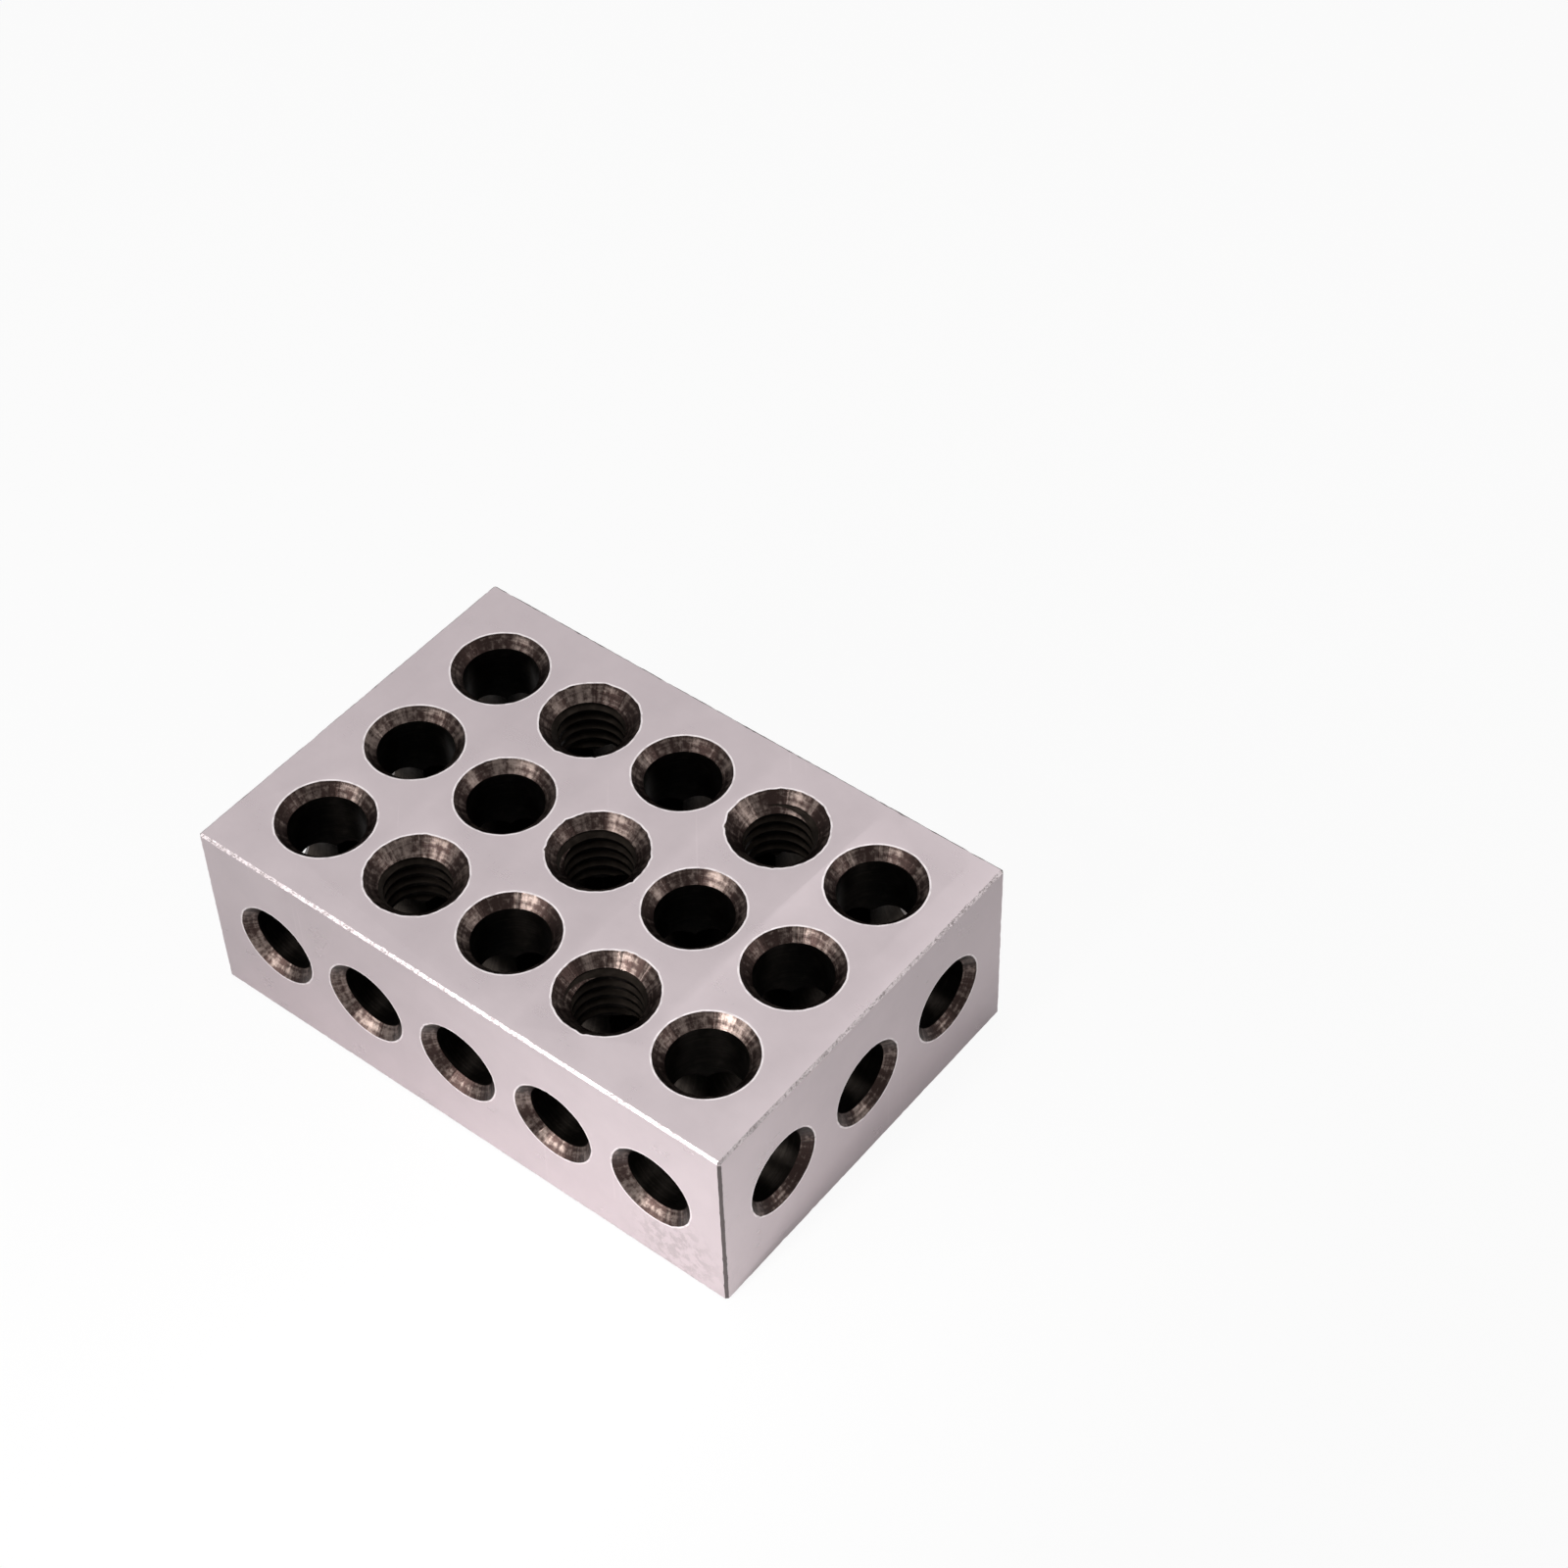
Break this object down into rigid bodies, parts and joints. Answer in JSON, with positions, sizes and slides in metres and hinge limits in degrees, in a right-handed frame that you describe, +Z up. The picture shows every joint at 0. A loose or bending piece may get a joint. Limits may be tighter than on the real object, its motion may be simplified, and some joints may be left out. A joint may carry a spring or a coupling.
{
  "type": "machinist setup block",
  "caption": "Ground steel setup block with a grid of countersunk through holes on all three axes, some tapped, for raising, squaring and clamping work.",
  "frame": {"origin": "middle of the underside", "axes": "+X along the length, +Y along the width, +Z up through the height"},
  "size_m": [0.0762, 0.0508, 0.0254],
  "materials": {
    "ground_steel": "surface ground, satin"
  },
  "bodies": {
    "root": {"setup_block": "ground_steel"}
  },
  "joints": []
}
